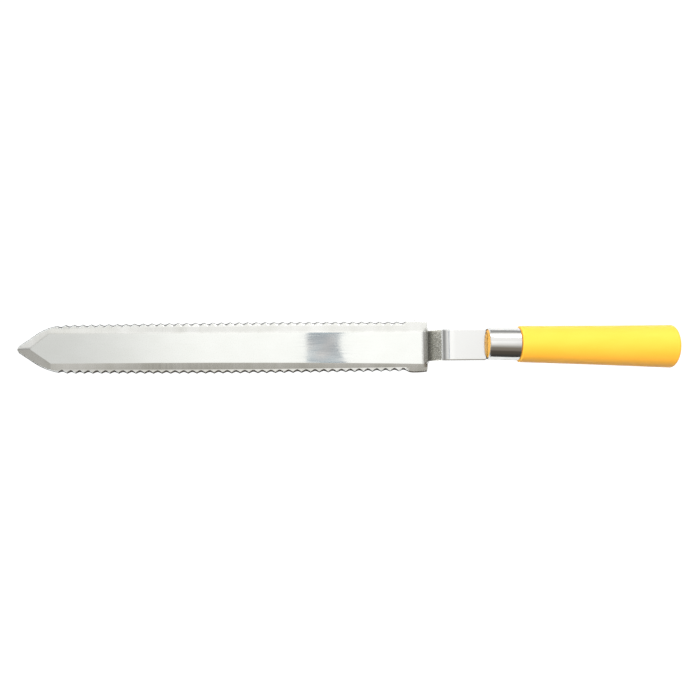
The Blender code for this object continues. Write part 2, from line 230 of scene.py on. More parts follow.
def fold(along, side, height):
    """World place of a point of the blank: developed length, half width and height over the back.

    Only the neck's width is bent. The lobes beside it stay flat, and the fillets take up the twist.
    """
    x, z, heading = neutral(along)
    offset = height - SHEET / 2
    x -= offset * math.sin(heading)
    z += offset * math.cos(heading)
    flat = smooth_step((abs(side) - NECK_HALF_WIDTH) / HEEL_FILLET)
    return x + (along - x) * flat - OVERALL_LENGTH / 2, side, z + (height - z) * flat


def smooth_step(share):
    """Eases from 0 to 1, and stays there outside that range."""
    share = min(1.0, max(0.0, share))
    return share * share * (3 - 2 * share)


def riser_end():
    """Developed length of the sheet at the top of the riser."""
    return BEND_START + BEND_RADIUS * RISER_ANGLE + crank_straight()


def mouth_place():
    """Developed length of the sheet at the ferrule's mouth."""
    return BEND_START + crank_length() + NECK_REACH


# ---------------------------------------------------------------- small mesh tools


def arc(centre, radius, start, end, steps):
    """Points of an arc, angles in degrees."""
    points = []
    for step in range(steps + 1):
        angle = math.radians(start + (end - start) * step / steps)
        points.append((centre[0] + radius * math.cos(angle), centre[1] + radius * math.sin(angle)))
    return points


def evenly(start, end, steps):
    """Places after start, up to and with end."""
    return [start + (end - start) * (step + 1) / steps for step in range(steps)]


def between(start, end, share):
    return tuple(a + (b - a) * share for a, b in zip(start, end))


def sharpen(mesh, degrees):
    """Marks the edges that turn by more than the angle, and shades the rest smooth."""
    limit = math.radians(degrees)
    for face in mesh.faces:
        face.smooth = True
    for edge in mesh.edges:
        edge.smooth = edge.smooth and edge.calc_face_angle(0.0) < limit


def add_piece(name, mesh, looks):
    """Turns a bmesh into a named object with its materials."""
    data = bpy.data.meshes.new(name)
    mesh.to_mesh(data)
    mesh.free()
    for look in looks:
        data.materials.append(look)
    piece = bpy.data.objects.new(name, data)
    bpy.context.scene.collection.objects.link(piece)
    return piece


# ---------------------------------------------------------------- node helpers


def new_material(name, colour, metallic, roughness):
    """A material and its shader, with the constants set on the shader's own sockets."""
    made = bpy.data.materials.new(name)
    made.use_nodes = True
    shader = made.node_tree.nodes["Principled BSDF"]
    shader.inputs["Base Color"].default_value = (*colour, 1.0)
    shader.inputs["Metallic"].default_value = metallic
    shader.inputs["Roughness"].default_value = roughness
    return made, shader


def noise(tree, frequency, detail=3.0, roughness=0.55, distortion=0.0):
    """Noise in object space with its own frequency, in cycles per metre, along each axis."""
    place = tree.nodes.new("ShaderNodeTexCoord")
    stretch = tree.nodes.new("ShaderNodeMapping")
    stretch.inputs["Scale"].default_value = frequency
    grain = tree.nodes.new("ShaderNodeTexNoise")
    grain.inputs["Scale"].default_value = 1.0
    grain.inputs["Detail"].default_value = detail
    grain.inputs["Roughness"].default_value = roughness
    grain.inputs["Distortion"].default_value = distortion
    tree.links.new(place.outputs["Object"], stretch.inputs["Vector"])
    tree.links.new(stretch.outputs["Vector"], grain.inputs["Vector"])
    return grain.outputs["Fac"]


def object_axis(tree, axis):
    """One object coordinate in metres."""
    place = tree.nodes.new("ShaderNodeTexCoord")
    parts = tree.nodes.new("ShaderNodeSeparateXYZ")
    tree.links.new(place.outputs["Object"], parts.inputs["Vector"])
    return parts.outputs[axis]


def arithmetic(tree, operation, *values):
    """A math node over values that are sockets or numbers."""
    node = tree.nodes.new("ShaderNodeMath")
    node.operation = operation
    for socket, value in zip(node.inputs, values):
        if isinstance(value, float):
            socket.default_value = value
        else:
            tree.links.new(value, socket)
    return node.outputs["Value"]


def blend_colours(tree, share, stops, interpolation="LINEAR"):
    """Colour ramp over a value from 0 to 1; stops are (value, colour)."""
    node = tree.nodes.new("ShaderNodeValToRGB")
    node.color_ramp.interpolation = interpolation
    elements = node.color_ramp.elements
    elements.remove(elements[1])
    elements[0].position = stops[0][0]
    elements[0].color = (*stops[0][1], 1.0)
    for value, colour in stops[1:]:
        elements.new(value).color = (*colour, 1.0)
    tree.links.new(share, node.inputs["Fac"])
    return node.outputs["Color"]


def spread(tree, value, low, high, start=0.3, end=0.7):
    """Maps the values from start to end to the range from low to high, and holds them there beyond."""
    mapped = tree.nodes.new("ShaderNodeMapRange")
    mapped.inputs["From Min"].default_value = start
    mapped.inputs["From Max"].default_value = end
    mapped.inputs["To Min"].default_value = low
    mapped.inputs["To Max"].default_value = high
    tree.links.new(value, mapped.inputs["Value"])
    return mapped.outputs["Result"]


def mixed(tree, blend, factor, first, second):
    """Mixes two colours; the factor and the colours are sockets or values."""
    node = tree.nodes.new("ShaderNodeMix")
    node.data_type = "RGBA"
    node.blend_type = blend
    for name, value in (("Factor", factor), ("A", first), ("B", second)):
        if isinstance(value, bpy.types.NodeSocket):
            tree.links.new(value, node.inputs[name])
        else:
            node.inputs[name].default_value = value
    return node.outputs["Result"]


def tint(tree, value, dark, light):
    """Mixes two colours by a value from 0 to 1."""
    return mixed(tree, "MIX", value, (*dark, 1.0), (*light, 1.0))


def bump(tree, height, distance, under=None):
    """A bump of the given real depth in metres, laid over another one if there is one."""
    made = tree.nodes.new("ShaderNodeBump")
    made.inputs["Strength"].default_value = 1.0
    made.inputs["Distance"].default_value = distance
    tree.links.new(height, made.inputs["Height"])
    if under is not None:
        tree.links.new(under, made.inputs["Normal"])
    return made.outputs["Normal"]


# ---------------------------------------------------------------- materials


def land_steel():
    """Bright sheet with a fine grain and slow ripples along the blade."""
    made, shader = new_material("land_steel", (0.64, 0.645, 0.63), 1.0, 0.1)
    tree = made.node_tree
    grain = noise(tree, (45, 950, 45), detail=4)
    smudge = noise(tree, (60, 90, 60), detail=2)
    tree.links.new(spread(tree, grain, 0.04, 0.1), shader.inputs["Roughness"])
    tree.links.new(
        tint(tree, spread(tree, smudge, 0.0, 1.0), (0.632, 0.64, 0.61), (0.652, 0.66, 0.634)),
        shader.inputs["Base Color"],
    )
    ripples = noise(tree, (60, 600, 60), detail=1)
    rolled = bump(tree, ripples, 0.009 * MM)
    tree.links.new(bump(tree, grain, 0.0006 * MM, rolled), shader.inputs["Normal"])
    return made


def bevel_steel():
    """Ground bevel with fine lines across it, as the wheel leaves them."""
    made, shader = new_material("bevel_steel", (0.62, 0.62, 0.60), 1.0, 0.2)
    tree = made.node_tree
    lines = noise(tree, (1100, 50, 50), detail=1)
    patches = noise(tree, (70, 40, 40), detail=2)
    tree.links.new(spread(tree, lines, 0.12, 0.26), shader.inputs["Roughness"])
    tree.links.new(
        tint(tree, spread(tree, patches, 0.0, 1.0), (0.56, 0.56, 0.525), (0.66, 0.66, 0.64)),
        shader.inputs["Base Color"],
    )
    tree.links.new(bump(tree, lines, 0.002 * MM), shader.inputs["Normal"])
    return made


def facet_steel():
    """Gullet facets, cut by a coarser wheel."""
    made, shader = new_material("facet_steel", (0.6, 0.6, 0.58), 1.0, 0.25)
    tree = made.node_tree
    lines = noise(tree, (900, 900, 2500), detail=3)
    tree.links.new(spread(tree, lines, 0.18, 0.34), shader.inputs["Roughness"])
    tree.links.new(bump(tree, lines, 0.008 * MM), shader.inputs["Normal"])
    return made


def edge_painted_shade():
    """The honed edge itself, coloured near black as painted shade: a thin dark line around the blade."""
    # The near-black, non-metallic colour is painted shade, not the steel's own colour
    made, shader = new_material("edge_painted_shade", (0.03, 0.03, 0.028), 0.0, 0.5)
    shader.inputs["Specular IOR Level"].default_value = 0.15
    tree = made.node_tree
    lines = noise(tree, (900, 900, 900), detail=3)
    tree.links.new(spread(tree, lines, 0.45, 0.6), shader.inputs["Roughness"])
    tree.links.new(bump(tree, lines, 0.004 * MM), shader.inputs["Normal"])
    return made


def bend_painted_reflections():
    """Pressed steel of the crank with painted reflections in its colour: mottled bands of painted shade and
    painted highlight, from dark to pale, that follow the height of the riser.
    """
    made, shader = new_material("bend_painted_reflections", (0.5, 0.49, 0.45), 1.0, 0.25)
    tree = made.node_tree
    mottle = noise(tree, (900, 600, 400), detail=3, roughness=0.6)
    height = object_axis(tree, "Z")
    wobble = arithmetic(tree, "MULTIPLY_ADD", mottle, BEND_MOTTLE, height)
    share = spread(tree, wobble, 0.0, 1.0, SHEET + BEND_MOTTLE / 2, NECK_HEIGHT + BEND_MOTTLE / 2)
    # Painted reflections by height: a pale painted glint line low on the bend, a dark painted shade band above
    # it, and a painted highlight with a darker painted band near the top of the riser
    bands = blend_colours(
        tree,
        share,
        [
            (0.0, (0.60, 0.60, 0.58)),
            (0.03, (0.44, 0.43, 0.40)),
            (0.1, (0.55, 0.54, 0.50)),
            (0.15, (0.76, 0.75, 0.71)),
            (0.175, (0.24, 0.23, 0.205)),
            (0.3, (0.29, 0.28, 0.245)),
            (0.42, (0.56, 0.55, 0.48)),
            (0.52, (0.80, 0.78, 0.70)),
            (0.88, (0.9, 0.88, 0.81)),
            (0.94, (0.5, 0.49, 0.46)),
        ],
    )
    tree.links.new(bands, shader.inputs["Base Color"])
    tree.links.new(spread(tree, mottle, 0.22, 0.38), shader.inputs["Roughness"])
    tree.links.new(bump(tree, mottle, 0.0015 * MM), shader.inputs["Normal"])
    return made


def neck_steel():
    """Polished neck with faint marks across it."""
    made, shader = new_material("neck_steel", (0.64, 0.64, 0.625), 1.0, 0.1)
    tree = made.node_tree
    marks = noise(tree, (700, 60, 700), detail=3)
    tree.links.new(spread(tree, marks, 0.07, 0.16), shader.inputs["Roughness"])
    tree.links.new(bump(tree, marks, 0.004 * MM), shader.inputs["Normal"])
    return made


def back_steel():
    """The back and the cut sides: mill finish, a little duller."""
    made, shader = new_material("back_steel", (0.6, 0.6, 0.59), 1.0, 0.28)
    tree = made.node_tree
    grain = noise(tree, (40, 1400, 40), detail=4)
    tree.links.new(spread(tree, grain, 0.2, 0.34), shader.inputs["Roughness"])
    tree.links.new(bump(tree, grain, 0.004 * MM), shader.inputs["Normal"])
    return made


def ferrule_steel():
    """Mirror polished tube with hairlines from the polishing wheel."""
    made, shader = new_material("ferrule_steel", (0.6, 0.595, 0.58), 1.0, 0.06)
    tree = made.node_tree
    hairs = noise(tree, (60, 1200, 1200), detail=4)
    tree.links.new(spread(tree, hairs, 0.04, 0.1), shader.inputs["Roughness"])
    tree.links.new(bump(tree, hairs, 0.0015 * MM), shader.inputs["Normal"])
    return made


def handle_plastic():
    """Satin moulded plastic: a faint orange peel, uneven gloss and slight streaks in the colour."""
    made, shader = new_material("handle_plastic", (0.9, 0.42, 0.042), 0.0, 0.42)
    shader.inputs["Specular IOR Level"].default_value = 0.15
    tree = made.node_tree
    streaks = noise(tree, (25, 90, 90), detail=3, distortion=0.6)
    peel = noise(tree, (900, 900, 900), detail=2)
    waves = noise(tree, (60, 120, 120), detail=1)
    tree.links.new(
        tint(tree, spread(tree, streaks, 0.0, 1.0), (0.88, 0.405, 0.037), (0.92, 0.435, 0.047)),
        shader.inputs["Base Color"],
    )
    tree.links.new(spread(tree, waves, 0.36, 0.5), shader.inputs["Roughness"])
    rolled = bump(tree, waves, 0.05 * MM)
    tree.links.new(bump(tree, peel, 0.006 * MM, rolled), shader.inputs["Normal"])
    return made


# ---------------------------------------------------------------- blade sections


def last_tooth():
    """Developed length of the tooth behind the last gullet."""
    return FIRST_GULLET + (GULLETS - 0.5) * PITCH


def edge_half_width(along):
    """Half width of the blank: a round nose, a straight slant, an arc and the slightly bellied sides."""
    full = BLADE_WIDTH / 2
    nose = POINT_NOSE_RADIUS
    nose_end = nose * (1 - math.sin(POINT_HALF_ANGLE))
    if along < nose_end:
        return math.sqrt(nose**2 - (nose - along) ** 2)
    slant = math.tan(POINT_HALF_ANGLE)
    start = nose * math.cos(POINT_HALF_ANGLE)
    corner = nose_end + (full - start) / slant
    reach = POINT_CORNER_RADIUS * math.tan(POINT_HALF_ANGLE / 2)
    if along < corner - reach * math.cos(POINT_HALF_ANGLE):
        return start + (along - nose_end) * slant
    sides = corner + reach
    if along < sides:
        return full - POINT_CORNER_RADIUS + math.sqrt(POINT_CORNER_RADIUS**2 - (sides - along) ** 2)
    share = min(1.0, (along - sides) / (last_tooth() - sides))
    return full + BLADE_BELLY * math.sin(math.pi * share)


def land_half_width(along, sign):
    """Distance from the blade's middle to the land's border, on the ridge in front of the land."""
    slant = max(0.0, (along - LAND_SETBACK) * math.tan(LAND_POINT_ANGLE))
    apex = sign * LAND_APEX_OFFSET * min(1.0, along / LAND_SETBACK)
    share = min(1.0, along / BLADE_LENGTH)
    if sign > 0:
        side = LAND_FAR_FRONT + (LAND_FAR_HEEL - LAND_FAR_FRONT) * share
    else:
        side = LAND_NEAR_FRONT + (LAND_NEAR_HEEL - LAND_NEAR_FRONT) * share**3
    return min(slant + apex, side)


def gullet_bite(along):
    """Depth of the gullets: a V with a rounded bottom, as a dressed wheel cuts it."""
    if not FIRST_GULLET - PITCH / 2 < along < last_tooth():
        return 0.0
    from_centre = abs((along - FIRST_GULLET + PITCH / 2) % PITCH - PITCH / 2) / (PITCH / 2)
    rise = math.hypot(GULLET_ROUNDING, from_centre) - GULLET_ROUNDING
    return GULLET_DEPTH * (1 - rise / (math.hypot(GULLET_ROUNDING, 1.0) - GULLET_ROUNDING))


def rim_width(along):
    """Width of the flatter rim, which fades out towards the point and the heel."""
    fade_in = min(1.0, max(0.0, (along - RIM_START) / RIM_FADE_IN))
    fade_out = min(1.0, max(0.0, (last_tooth() + RIM_PAST_TEETH - along) / RIM_FADE_OUT))
    return RIM_WIDTH * fade_in * fade_out


def blend_width(sign):
    """Width over which the land rolls into the bevel; the far side was ground more softly."""
    return FAR_BLEND if sign > 0 else NEAR_BLEND


def roll(distance, width):
    """Share of the bevel's drop at a distance from the land's border, which eases in over the width."""
    if distance < width:
        return distance * distance / (2 * width)
    return distance - width / 2


def bevel_slope(along):
    """Slope of the ground bevels, which are flatter towards the point."""
    start, end = BEVEL_STEEPENS
    share = min(1.0, max(0.0, (along - start) / (end - start)))
    return math.tan(BEVEL_ANGLE_POINT + (BEVEL_ANGLE - BEVEL_ANGLE_POINT) * share)


def ground_height(along, side, sign):
    """Height of the ground side over the back: land or ridge, bevel and rim."""
    crown = SHEET
    if along < LAND_SETBACK:
        crown -= (edge_half_width(LAND_SETBACK) - edge_half_width(along)) * bevel_slope(along)
    border = land_half_width(along, sign)
    rim = edge_half_width(along) - rim_width(along)
    width = min(blend_width(sign), (rim - border) / 2)
    down_bevel = roll(max(0.0, min(side, rim) - border), width) * bevel_slope(along)
    down_rim = max(0.0, side - rim) * math.tan(RIM_ANGLE)
    return crown - down_bevel - down_rim


def ground_rib(along, sign, outer, inner, rim, land, lip):
    """Half section of the ground blade: back, cut edge, hollow facet, rim, bevel and land border."""
    edge = (along, outer, lip)
    bottom = (along, inner, ground_height(along, inner, sign))
    spine = land - SPINE_INSET * max(0.0, land - LAND_APEX_OFFSET)
    points = [(along, spine, 0.0), (along, outer - BROKEN_EDGE, 0.0), (along, outer, 0.0), edge]
    for share in FACET_SHARES:
        place = between(edge, bottom, share)
        points.append((place[0], place[1], place[2] - FACET_HOLLOW * 4 * share * (1 - share)))
    points.append(bottom)
    points.append((along, rim, ground_height(along, rim, sign)))
    width = min(blend_width(sign), (rim - land) / 2)
    for share in (1.0, 2 / 3, 1 / 3, 0.0):
        side = land + width * share
        points.append((along, side, ground_height(along, side, sign)))
    points.append((along, spine, ground_height(along, spine, sign)))
    return points


def blade_rib(along, sign):
    """Half section between the point and the last tooth; facet and rim shrink to fit near the nose."""
    bite = gullet_bite(along)
    edge = edge_half_width(along)
    cut = edge - bite
    facet = FACET_AT_TOOTH + (FACET_AT_GULLET - FACET_AT_TOOTH) * bite / GULLET_DEPTH
    land = land_half_width(along, sign)
    inner = cut - min(facet, (cut - land) / 3)
    rim = min(edge - rim_width(along), inner - (inner - land) / 20)
    return ground_rib(along, sign, cut, inner, rim, land, EDGE_THICKNESS)


def heel_outline():
    """The plain lobe, its end and the fillet into the neck: (length, half width, unsharpened share)."""
    lobe = BLADE_WIDTH / 2 + LOBE_RISE
    slant = math.degrees(HEEL_END_SLANT)
    corner = (BLADE_LENGTH - HEEL_CORNER_RADIUS, lobe - LOBE_FALL - HEEL_CORNER_RADIUS)
    flat_end = corner[0] + HEEL_CORNER_RADIUS * math.cos(math.radians(HEEL_CORNER_START))
    fall_start = BEND_START - LOBE_FALL_START
    points = [(last_tooth() + past, lobe - inside, 0.0) for past, inside in LOBE_SWELL]
    points.append((fall_start, lobe, 0.0))
    falling = evenly(fall_start, flat_end, 14)
    for step, along in enumerate(falling[:-1]):
        points.append((along, lobe - LOBE_FALL * ((step + 1) / len(falling)) ** 1.5, 0.0))
    steps = 10
    for step, point in enumerate(arc(corner, HEEL_CORNER_RADIUS, HEEL_CORNER_START, slant, steps)):
        points.append((*point, step / steps))
    fillet_side = NECK_HALF_WIDTH + HEEL_FILLET
    top = points[-1][:2]
    fillet_start = (top[0] + (top[1] - fillet_side) * math.tan(HEEL_END_SLANT), fillet_side)
    points += [(*between(top, fillet_start, share), 1.0) for share in (0.33, 0.67)]
    fillet = (fillet_start[0] + HEEL_FILLET, fillet_side)
    points += [(*point, 1.0) for point in arc(fillet, HEEL_FILLET, 180 + slant, 270, 20)]
    return points


def heel_rib(along, side, sign, blunt):
    """Half section of the heel: the bevel runs out as the outline turns in to the neck."""
    border = min(land_half_width(along, sign), side - BROKEN_EDGE)
    facet = FACET_AT_TOOTH + (BROKEN_EDGE / 2 - FACET_AT_TOOTH) * blunt
    inner = side - min(facet, (side - border) / 2)
    rim = (inner + border) / 2
    lip = EDGE_THICKNESS + (ground_height(along, side, sign) - BROKEN_EDGE - EDGE_THICKNESS) * blunt
    return ground_rib(along, sign, side, inner, rim, border, lip)


def plain_rib(along, side, sign):
    """Half section of neck and tang: rolled upper edge, softer on the near side, and broken lower edge."""
    width = NECK_FAR_ROUND if sign > 0 else NECK_NEAR_ROUND
    spine = side * (1 - SPINE_INSET)
    points = [(along, spine, 0.0), (along, side - BROKEN_EDGE, 0.0)]
    points.append((along, side - BROKEN_EDGE / 4, BROKEN_EDGE / 4))
    steps = 8
    for step in range(steps + 1):
        angle = math.pi / 2 * step / steps
        out = width * (1 - math.cos(angle))
        up = NECK_ROUND_DROP * (math.sin(angle) - 1)
        points.append((along, side - out, SHEET + up))
    points.append((along, spine, SHEET))
    return points


# ---------------------------------------------------------------- blade


def blade_stations():
    """Developed lengths of the sections from the point to the last tooth."""
    first_tooth = FIRST_GULLET - PITCH / 2
    land_corner = LAND_SETBACK + LAND_FAR_FRONT / math.tan(LAND_POINT_ANGLE)
    nose = POINT_NOSE_RADIUS
    stations = [nose * (1 - math.cos(math.radians(angle))) for angle in range(8, 57, 6)]
    stations += [*evenly(stations[-1], LAND_SETBACK, 8), *evenly(LAND_SETBACK, land_corner, 20)]
    stations += evenly(land_corner, first_tooth, 8)
    return stations + evenly(first_tooth, last_tooth(), GULLETS * STEPS_PER_GULLET)


def edge_lead(along, sign):
    """The far edge's teeth lead by a fixed step, which fades out towards the point and the heel."""
    if sign < 0:
        return 0.0
    fade_in = min(1.0, max(0.0, (along - LAND_SETBACK) / LEAD_FADE_IN))
    fade_out = min(1.0, max(0.0, (BLADE_LENGTH - LEAD_END - along) / LEAD_FADE_OUT))
    return -FAR_EDGE_LEAD * fade_in * fade_out


def neck_outline():
    """Riser and neck, the rounded shoulders at the ferrule's mouth and the tang behind them.

    A crease, two sections close together, parts the flat riser and neck from the smooth bend between them.
    """
    shoulder = mouth_place() - FIT_GAP
    start = heel_outline()[-1][0]
    top = riser_end()
    bend_end = BEND_START + crank_length()
    places = evenly(start, top - CREASE, 20) + [top] + evenly(top, bend_end, 44)
    places += [bend_end + CREASE] + evenly(bend_end + CREASE, shoulder - 1.6 * SHOULDER_ROUND, 8)
    points = [(place, NECK_HALF_WIDTH) for place in places]
    corner = (shoulder - 1.4 * SHOULDER_ROUND, NECK_HALF_WIDTH - SHOULDER_ROUND)
    points += arc(corner, SHOULDER_ROUND, 80, 10, 8)
    root = shoulder + 0.2 * MM
    points += [(root, TANG_HALF_WIDTH + 0.3 * MM), (root + 0.4 * MM, TANG_HALF_WIDTH)]
    end = mouth_place() + TANG_LENGTH
    length, inset = TANG_TAPER
    return points + [(end - length, TANG_HALF_WIDTH), (end, TANG_HALF_WIDTH - inset)]


def half_sections(sign):
    """All half sections of one side of the blank, from the point to the end of the tang."""
    ribs = [blade_rib(along, sign) for along in blade_stations()]
    ribs += [heel_rib(along, side, sign, blunt) for along, side, blunt in heel_outline()]
    return ribs + [plain_rib(along, side, sign) for along, side in neck_outline()]


# Places of a half section's points, and the looks of the strips between them
EDGE_POINT, FACET_POINT, RIM_POINT, LAND_POINT, SPINE_POINT = 3, 6, 7, 11, 12
LAND_LOOK, BEVEL_LOOK, FACET_LOOK, EDGE_PAINTED_SHADE_LOOK, BEND_PAINTED_LOOK, NECK_LOOK, BACK_LOOK = range(7)


def strip_look(strip, along):
    """Look of the face that starts at a point of the ring, at a developed length."""
    here = min(strip, 2 * SPINE_POINT - strip)
    if here < EDGE_POINT:
        return BACK_LOOK
    if along > BLADE_LENGTH or (along > BEND_START - BEND_LOOK_LEAD and here >= LAND_POINT):
        # The crank's strips take the material whose colour holds painted reflections, painted highlights and
        # painted shade
        return BEND_PAINTED_LOOK if along < riser_end() + RISER_OVERLAP else NECK_LOOK
    if here < FACET_POINT:
        # The outer strip of the facets along the toothed edge takes the near-black painted shade
        return EDGE_PAINTED_SHADE_LOOK if here == EDGE_POINT and along < last_tooth() else FACET_LOOK
    return LAND_LOOK if here >= LAND_POINT else BEVEL_LOOK


def blade_rings(mesh):
    """Vertices of the blank's sections, near side first, folded into place."""
    rings = []
    for near, far in zip(half_sections(-1), half_sections(1)):
        ring = [mesh.verts.new(fold(along, -side, height)) for along, side, height in near]
        ring += [
            mesh.verts.new(fold(along + edge_lead(along, 1), side, height))
            for along, side, height in reversed(far)
        ]
        rings.append((near[0][0], ring))
    return rings


def mark_ridges(mesh, rings):
    """Keeps the ground blade's ridges sharp along its length, up to the heel."""
    for (place, front), (_, back) in zip(rings, rings[1:]):
        if place < BLADE_LENGTH:
            for index in (EDGE_POINT, FACET_POINT, RIM_POINT):
                for point in (index, len(front) - 1 - index):
                    mesh.edges.get((front[point], back[point])).smooth = False


def make_blade():
    """The bent sheet as one closed skin, with a look for each strip between two sections."""
    mesh = bmesh.new()
    rings = blade_rings(mesh)
    for (place, front), (_, back) in zip(rings, rings[1:]):
        for index in range(len(front)):
            after = (index + 1) % len(front)
            face = mesh.faces.new((front[index], back[index], back[after], front[after]))
            face.material_index = BACK_LOOK if after == 0 else strip_look(index, place)
    mesh.faces.new(rings[0][1]).material_index = BEVEL_LOOK
    mesh.faces.new(rings[-1][1][::-1]).material_index = BACK_LOOK
    mesh.normal_update()
    mark_ridges(mesh, rings)
    bmesh.ops.remove_doubles(mesh, verts=mesh.verts, dist=1e-6)
    bmesh.ops.dissolve_degenerate(mesh, edges=mesh.edges, dist=1e-7)
    bmesh.ops.recalc_face_normals(mesh, faces=mesh.faces)
    sharpen(mesh, 35)
    looks = [land_steel(), bevel_steel(), facet_steel(), edge_painted_shade()]
    looks += [bend_painted_reflections(), neck_steel(), back_steel()]
    return add_piece("ground_blade", mesh, looks)


# ---------------------------------------------------------------- turned pieces


def turned(profile):
    """Spins a profile of (axial, radius) points about the local X axis."""
    mesh = bmesh.new()
    rings = []
    for axial, radius in profile:
        if radius < 1e-9:
            rings.append([mesh.verts.new((axial, 0.0, 0.0))])
            continue
        ring = []
        for step in range(ROUND_SEGMENTS):
            angle = 2 * math.pi * step / ROUND_SEGMENTS
            ring.append(mesh.verts.new((axial, radius * math.cos(angle), radius * math.sin(angle))))
        rings.append(ring)
    return mesh, rings


def join_rings(mesh, rings):
    """Bridges each ring to the next; a single point closes an end."""
    for near, far in zip(rings, rings[1:]):
        count = max(len(near), len(far))
        for index in range(count):
            after = (index + 1) % count
            if len(near) == 1:
                mesh.faces.new((near[0], far[after], far[index]))
            elif len(far) == 1:
                mesh.faces.new((near[index], near[after], far[0]))
            else:
                mesh.faces.new((near[index], near[after], far[after], far[index]))


def place_on_axis(piece, skew, offset):
    """Moves a piece's mesh to the drooping axis that starts at the ferrule's mouth."""
    x, z, _ = neutral(mouth_place())
    mouth = Matrix.Translation((x - OVERALL_LENGTH / 2, offset, z))
    turn = Euler((0.0, DROOP, -skew)).to_matrix().to_4x4()
    piece.data.transform(mouth @ turn)


def ferrule_radius(axial):
    """Outer radius at a distance from the mouth."""
    share = axial / FERRULE_LENGTH
    return FERRULE_MOUTH_RADIUS + (FERRULE_BASE_RADIUS - FERRULE_MOUTH_RADIUS) * share


def ferrule_profile():
    """A tapered tube with rolled rims: mouth rim, outside, base rim and back along the bore."""
    rim = FERRULE_RIM
    end = FERRULE_LENGTH
    outside = arc((rim, ferrule_radius(rim) - rim), rim, 180, 90, 8)
    outside += [(end * share, ferrule_radius(end * share)) for share in (0.25, 0.5, 0.75)]
    outside += arc((end - rim, ferrule_radius(end - rim) - rim), rim, 90, 0, 8)
    base_bore = ferrule_radius(end) - FERRULE_WALL
    mouth_bore = ferrule_radius(0.0) - FERRULE_WALL
    bore = [
        (end, base_bore + BORE_CHAMFER),
        (end - BORE_CHAMFER, base_bore),
        (BORE_CHAMFER, mouth_bore),
        (0.0, mouth_bore + BORE_CHAMFER),
    ]
    return outside + bore


def make_ferrule():
    """The tube, closed on itself through its bore."""
    mesh, rings = turned(ferrule_profile())
    join_rings(mesh, [*rings, rings[0]])
    bmesh.ops.recalc_face_normals(mesh, faces=mesh.faces)
    sharpen(mesh, 30)
    piece = add_piece("polished_ferrule", mesh, [ferrule_steel()])
    place_on_axis(piece, GRIP_SKEW, GRIP_OFFSET)
    return piece


def handle_front():
    """Distance of the handle's shoulder from the ferrule's mouth."""
    return FERRULE_LENGTH + FIT_GAP


def handle_length():
    """From the shoulder to the butt, so that the upper edge of the butt ends the knife's length."""
    x, _, _ = neutral(mouth_place())
    run = math.cos(DROOP) * math.cos(GRIP_SKEW)
    rim = (HANDLE_BUTT_RADIUS - HANDLE_BUTT_ROUND) * math.sqrt(1 - run**2) + HANDLE_BUTT_ROUND
    return (OVERALL_LENGTH - rim - x) / run + HANDLE_BUTT_ROUND - handle_front()


def handle_radius(share):
    """The grip swells towards the butt, a little faster at the end."""
    swell = (1 - HANDLE_FLARE) * share + HANDLE_FLARE * share * share
    return HANDLE_FRONT_RADIUS + (HANDLE_BUTT_RADIUS - HANDLE_FRONT_RADIUS) * swell


def handle_profile():
    """Spigot, shoulder, tapered grip, rounded butt and shallow dome, from mouth to butt."""
    spigot = FERRULE_MOUTH_RADIUS - FERRULE_WALL - FIT_GAP
    root = ferrule_radius(FERRULE_LENGTH) - FERRULE_WALL - FIT_GAP
    front = handle_front()
    length = handle_length()
    back = front + length
    soft = HANDLE_FRONT_ROUND
    face = SPIGOT_RECESS
    profile = [(face, 0.0), (face, spigot / 2)]
    profile += arc((face + SPIGOT_ROUND, spigot - SPIGOT_ROUND), SPIGOT_ROUND, 180, 90, 6)
    profile += [(front, root)]
    profile += arc((front + soft, HANDLE_FRONT_RADIUS - soft), soft, 180, 90, 10)
    rings = 40
    for ring in range(1, rings):
        profile.append((front + length * ring / rings, handle_radius(ring / rings)))
    blunt = HANDLE_BUTT_ROUND
    profile += arc((back - blunt, HANDLE_BUTT_RADIUS - blunt), blunt, 90, 4, 16)
    inner = HANDLE_BUTT_RADIUS - blunt
    for share in (0.9, 0.8, 0.6, 0.4, 0.2):
        profile.append((back + BUTT_DOME * (1 - share * share), inner * share))
    profile.append((back + BUTT_DOME, 0.0))
    return profile


def tang_slot():
    """Cutter for the blind slot that takes the tang, a gap all round it."""
    length = TANG_LENGTH + 2 * FIT_GAP
    reach = 1.0 * MM  # how far the cutter stands out of the mouth
    mesh = bmesh.new()
    bmesh.ops.create_cube(mesh, size=1.0)
    size = (length + reach, 2 * (TANG_HALF_WIDTH + 2 * FIT_GAP), SHEET + 2 * FIT_GAP)
    bmesh.ops.scale(mesh, vec=size, verts=mesh.verts)
    bmesh.ops.translate(mesh, vec=((length - reach) / 2, 0.0, 0.0), verts=mesh.verts)
    cutter = add_piece("tang_slot", mesh, [])
    place_on_axis(cutter, 0.0, 0.0)
    return cutter


def cut(piece, cutter):
    """Cuts one piece with another, keeps the result as plain mesh and removes the cutter."""
    tool = piece.modifiers.new("cut", "BOOLEAN")
    tool.operation = "DIFFERENCE"
    tool.object = cutter
    graph = bpy.context.evaluated_depsgraph_get()
    piece.data = bpy.data.meshes.new_from_object(piece.evaluated_get(graph))
    piece.modifiers.clear()
    bpy.data.objects.remove(cutter)


def make_handle():
    """The turned moulding with its slot."""
    mesh, rings = turned(handle_profile())
    join_rings(mesh, rings)
    bmesh.ops.recalc_face_normals(mesh, faces=mesh.faces)
    piece = add_piece("moulded_handle", mesh, [handle_plastic()])
    place_on_axis(piece, GRIP_SKEW, GRIP_OFFSET)
    cut(piece, tang_slot())
    piece.data.shade_smooth()
    piece.data.set_sharp_from_angle(angle=math.radians(30))
    return piece


# ---------------------------------------------------------------- stage, light and camera


WHITE_TO_CAMERA = 1.1


